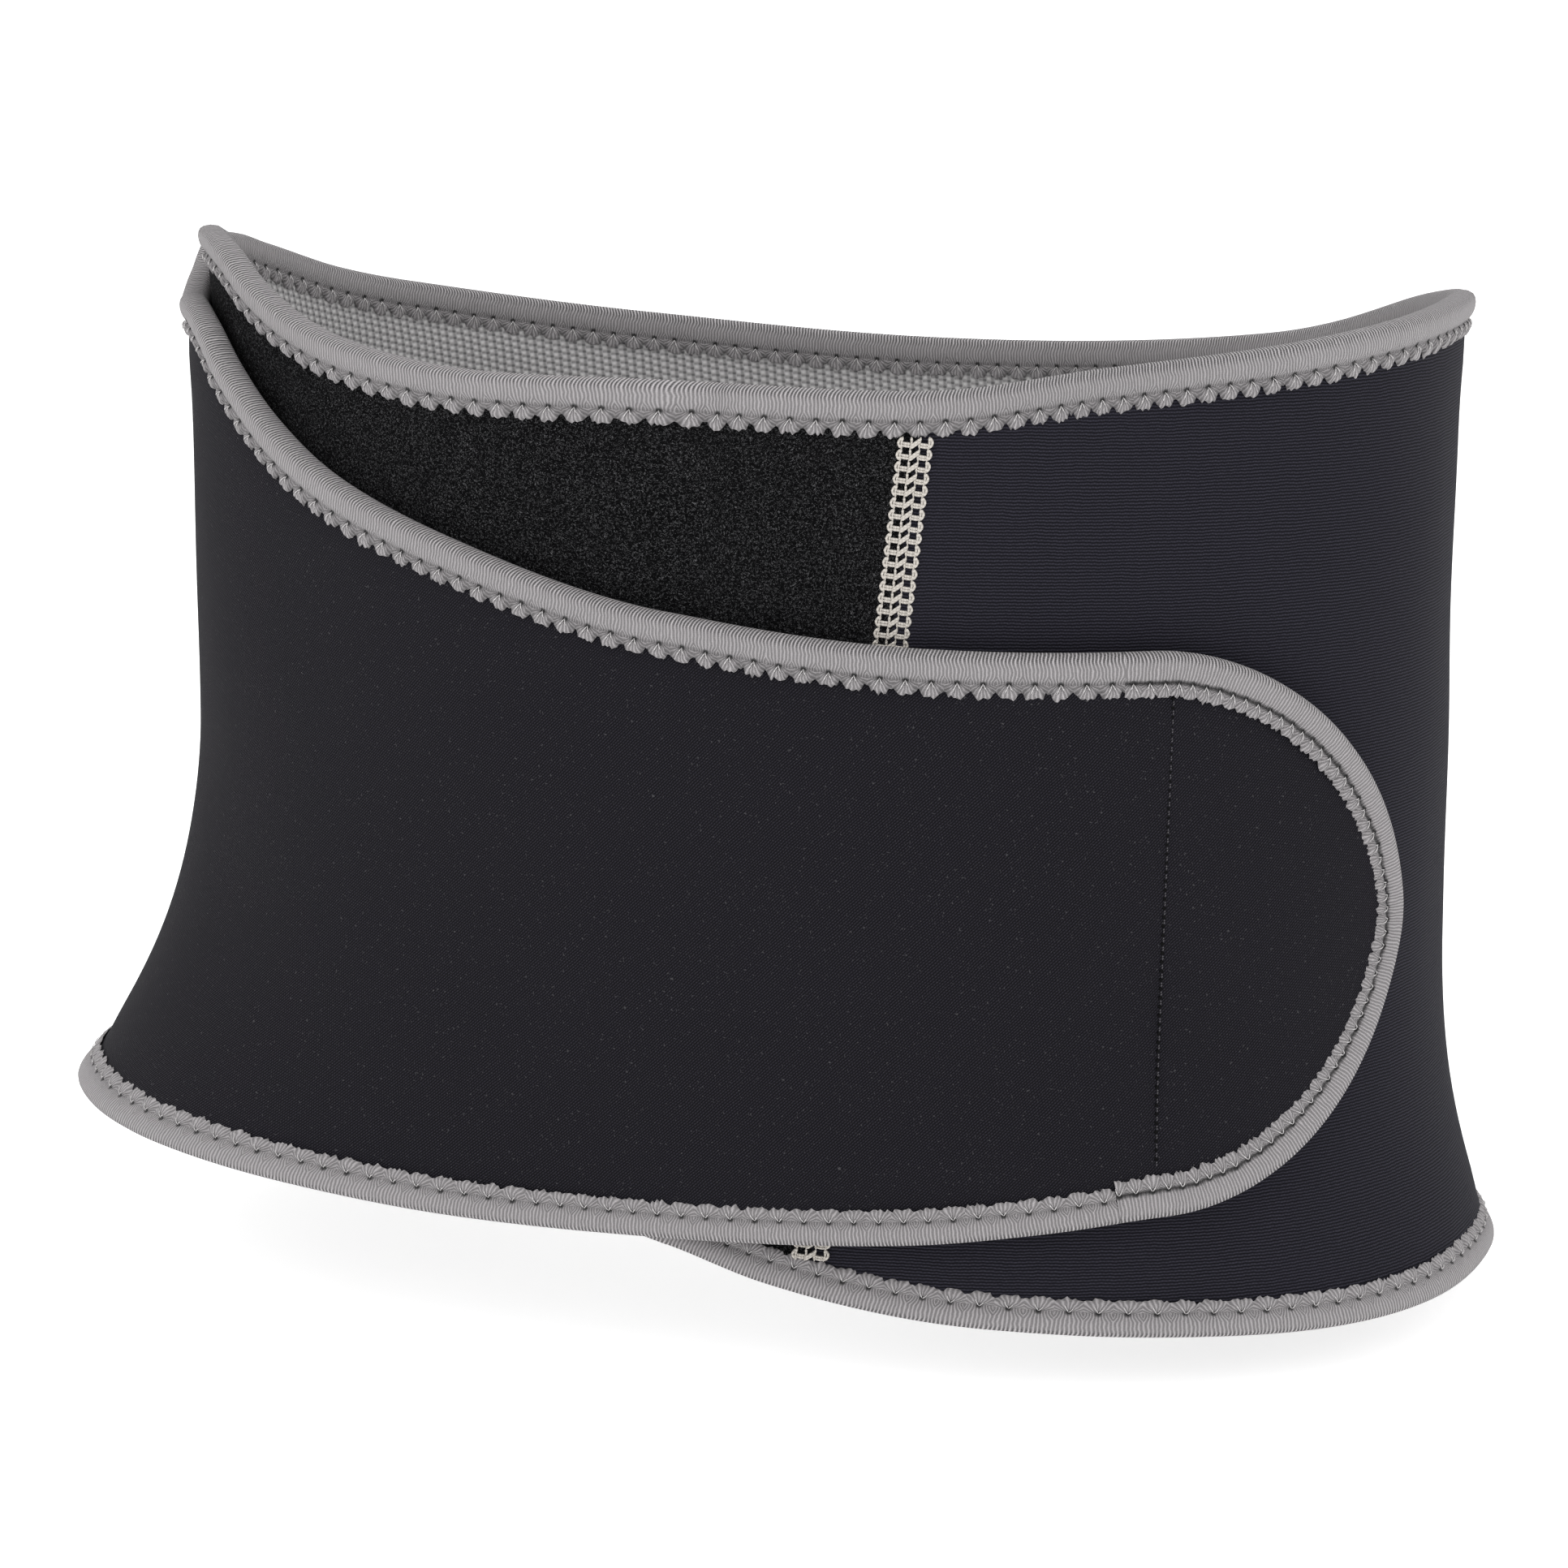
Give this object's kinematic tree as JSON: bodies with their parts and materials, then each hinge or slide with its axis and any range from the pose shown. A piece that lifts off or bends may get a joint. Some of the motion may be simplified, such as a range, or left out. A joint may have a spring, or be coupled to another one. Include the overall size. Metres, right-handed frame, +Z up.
{
  "type": "lumbar support belt",
  "caption": "Wrap-round lumbar support belt of padded neoprene panels bound in grey tape, closed at the front by a rounded hook tab over an inner wing.",
  "frame": {"origin": "middle of the waist opening, at the height where the waist is narrowest", "axes": "+Z up as worn, -Y towards the front where the wings lap, +X to the right as seen from the front"},
  "size_m": [0.3302, 0.2169, 0.2361],
  "materials": {
    "knit": "matt black neoprene jersey",
    "loop_pile": "brushed loop pile",
    "foam": "closed-cell neoprene foam",
    "lining": "grey waffle knit",
    "tape": "grey ribbed binding tape, zigzag stitched",
    "thread": "cream sewing thread",
    "hook": "moulded hook fastener",
    "stay": "flexible plastic stay"
  },
  "bodies": {
    "back": {"back_foam": "foam", "back_knit": "knit", "back_lining": "lining", "back_top_binding": "tape", "back_bottom_binding": "tape", "stay_casings": "knit", "stay_1": "stay", "stay_2": "stay", "stay_3": "stay", "stay_4": "stay"},
    "outer_wing": {"outer_wing_foam": "foam", "outer_wing_knit": "knit", "outer_wing_lining": "lining", "outer_wing_top_binding": "tape", "outer_wing_bottom_binding": "tape"},
    "hook_tab": {"hook_tab_foam": "foam", "hook_tab_knit": "knit", "hook_tab_lining": "lining", "hook_tab_binding": "tape", "hook_patch": "hook", "hook_patch_stitching": "thread"},
    "inner_wing": {"inner_wing_foam": "foam", "side_knit": "knit", "loop_panel": "loop_pile", "inner_wing_lining": "lining", "inner_wing_top_binding": "tape", "inner_wing_bottom_binding": "tape", "inner_wing_end_binding": "tape", "flatlock_seam": "thread"}
  },
  "joints": [
    {"name": "outer_wing_open", "type": "hinge", "parent": "back", "child": "outer_wing", "pos_m": [-0.15283, 0.0349, 0.0161], "axis": [-0.076, 0.0244, -0.9968], "range_deg": [0, 100]},
    {"name": "hook_tab_peel", "type": "hinge", "parent": "outer_wing", "child": "hook_tab", "pos_m": [0.10243, -0.08109, -0.00846], "axis": [0.0147, -0.0167, -0.9998], "range_deg": [0, 75]},
    {"name": "inner_wing_open", "type": "hinge", "parent": "back", "child": "inner_wing", "pos_m": [0.14896, 0.01735, 0.00969], "axis": [-0.0521, -0.0087, 0.9986], "range_deg": [0, 40]}
  ],
  "couplings": [
    {"joint": "inner_wing_open", "follows": "outer_wing_open", "ratio": 0.4}
  ]
}
